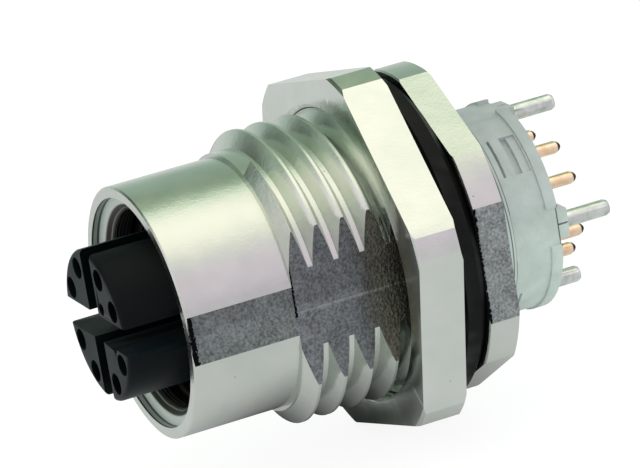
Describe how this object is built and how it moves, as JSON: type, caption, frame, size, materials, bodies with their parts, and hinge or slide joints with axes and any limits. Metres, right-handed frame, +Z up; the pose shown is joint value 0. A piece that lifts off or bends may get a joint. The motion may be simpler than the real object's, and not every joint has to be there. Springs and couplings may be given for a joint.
{
  "type": "m12 connector",
  "caption": "Panel-mount M12 X-coded socket with a threaded housing, hex nut, flange seal, lobed contact carrier and solder pins for a circuit board.",
  "frame": {"origin": "centre of the flange's front face on the connector's axis, where the panel and its seal are clamped", "axes": "+Y runs from the plug side to the board side along the axis, so the plug comes in from -Y; +Z is up, through a corner of the flange; +X points out of one of the two cast flats"},
  "size_m": [0.0208, 0.0279, 0.0206],
  "materials": {
    "nickel_housing": "satin nickel over die-cast zinc",
    "nickel_nut": "satin nickel over brass",
    "seal_rubber": "moulded black nitrile",
    "carrier_plastic": "moulded black glass-filled polyamide",
    "insulator_plastic": "moulded black polyamide",
    "gold_contact": "gold over turned brass",
    "shield_metal": "matt tin over die-cast zinc",
    "tinned_pin": "tinned turned brass"
  },
  "bodies": {
    "connector": {"housing": "nickel_housing", "flange_seal": "seal_rubber", "contact_carrier": "carrier_plastic", "carrier_seal": "seal_rubber", "contact_1": "gold_contact", "contact_2": "gold_contact", "contact_3": "gold_contact", "contact_4": "gold_contact", "contact_5": "gold_contact", "contact_6": "gold_contact", "contact_7": "gold_contact", "contact_8": "gold_contact", "shield_cross": "shield_metal", "rear_insulator": "insulator_plastic", "shield_ring": "shield_metal", "shield_pin_1": "tinned_pin", "shield_pin_2": "tinned_pin", "shield_pin_3": "tinned_pin", "shield_pin_4": "tinned_pin"},
    "nut": {"hex_nut": "nickel_nut"}
  },
  "joints": [
    {"name": "nut_off", "type": "slide", "parent": "connector", "child": "nut", "axis": [0, -1, 0], "range_m": [0, 0.0175]}
  ]
}
